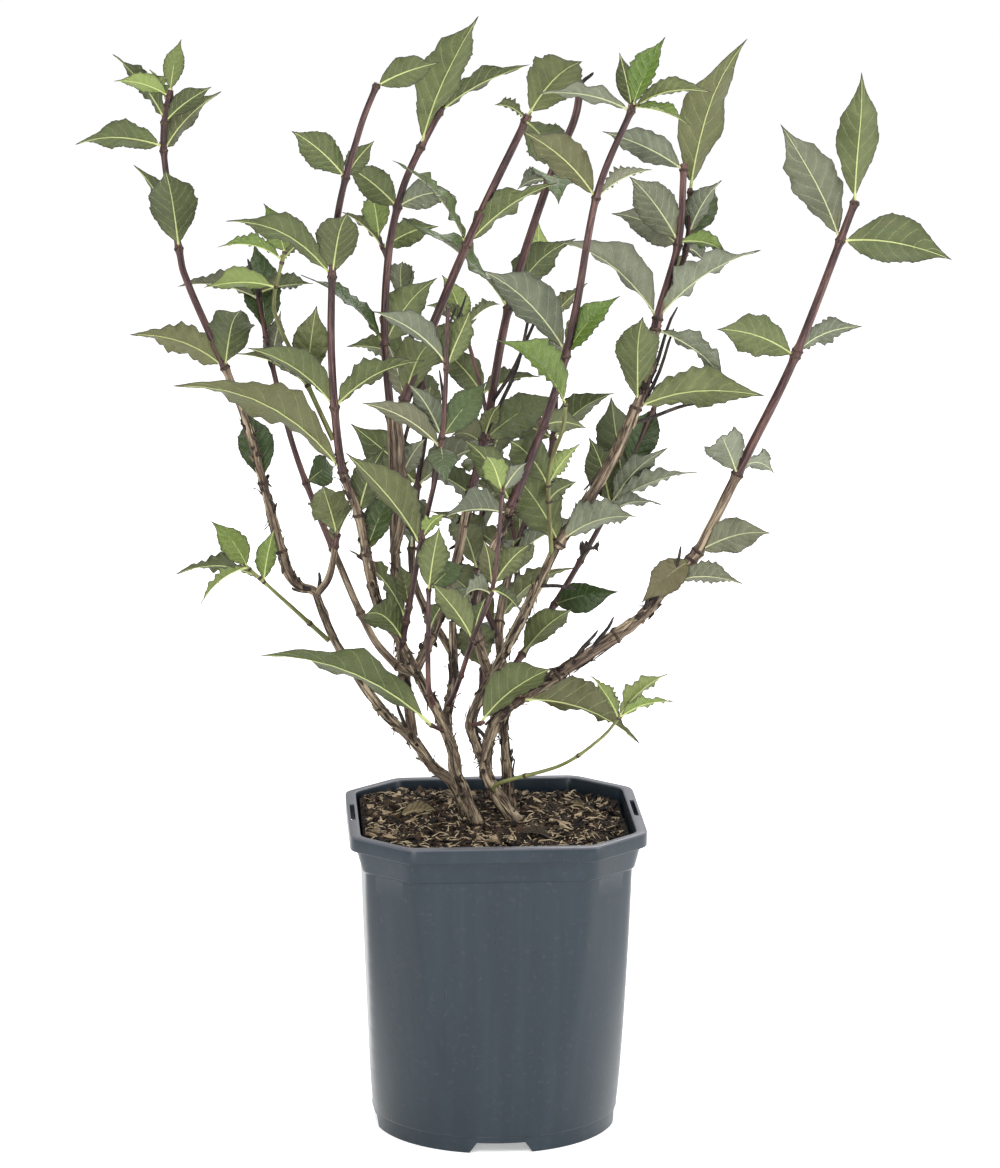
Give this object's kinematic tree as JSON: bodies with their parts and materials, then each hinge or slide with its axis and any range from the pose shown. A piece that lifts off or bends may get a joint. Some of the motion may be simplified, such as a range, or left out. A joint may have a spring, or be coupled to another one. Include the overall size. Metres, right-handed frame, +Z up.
{
  "type": "potted shrub",
  "caption": "Leafy many-stemmed flowering shrub, out of flower, with opposite pointed leaves on arching canes, in a square-topped nursery pot filled with bark compost.",
  "frame": {"origin": "centre of the pot's underside, on the ground", "axes": "+Z up, -Y towards the pot's front flat, +X to the right of it"},
  "size_m": [0.5557, 0.3297, 0.7184],
  "materials": {
    "pot_plastic": "slate grey moulded plastic with a slight sheen",
    "compost": "moist dark bark compost",
    "stem_bark": "peeling brown bark",
    "cane_bark": "smooth purple-brown young bark",
    "foliage": "matte green leaves on thin twigs"
  },
  "bodies": {
    "root": {"pot": "pot_plastic", "compost": "compost", "stem_far_left": "stem_bark", "stem_left": "stem_bark", "stem_middle": "stem_bark", "stem_right": "stem_bark", "stem_thick": "stem_bark", "stem_twin": "stem_bark", "bough_back_left": "cane_bark", "bough_back_low": "cane_bark", "bough_back_middle": "cane_bark", "bough_back_right": "cane_bark", "bough_centre_back": "cane_bark", "bough_centre_front": "cane_bark", "bough_centre_left": "cane_bark", "bough_centre_left_foot": "cane_bark", "bough_centre_tall": "cane_bark", "bough_left_front": "cane_bark", "bough_left_grey": "cane_bark", "bough_left_tall": "cane_bark", "bough_middle_right": "cane_bark", "bough_right_back": "cane_bark", "bough_right_foot": "cane_bark", "bough_thick": "cane_bark", "leaves_back_left": "foliage", "leaves_back_low": "foliage", "leaves_back_middle": "foliage", "leaves_back_right": "foliage", "leaves_bright_shoot": "foliage", "leaves_centre_back": "foliage", "leaves_centre_front": "foliage", "leaves_centre_left": "foliage", "leaves_centre_tall": "foliage", "leaves_left_front": "foliage", "leaves_left_grey": "foliage", "leaves_left_inner": "foliage", "leaves_left_shoot": "foliage", "leaves_left_tall": "foliage", "leaves_left_thin": "foliage", "leaves_low_far_right": "foliage", "leaves_low_left": "foliage", "leaves_low_right": "foliage", "leaves_low_shoot": "foliage", "leaves_middle_front": "foliage", "leaves_middle_right": "foliage", "leaves_middle_short": "foliage", "leaves_right_back": "foliage", "leaves_right_low": "foliage", "leaves_right_top": "foliage", "leaves_thick_low": "foliage", "leaves_thick_side": "foliage", "leaves_thick_top": "foliage"}
  },
  "joints": []
}
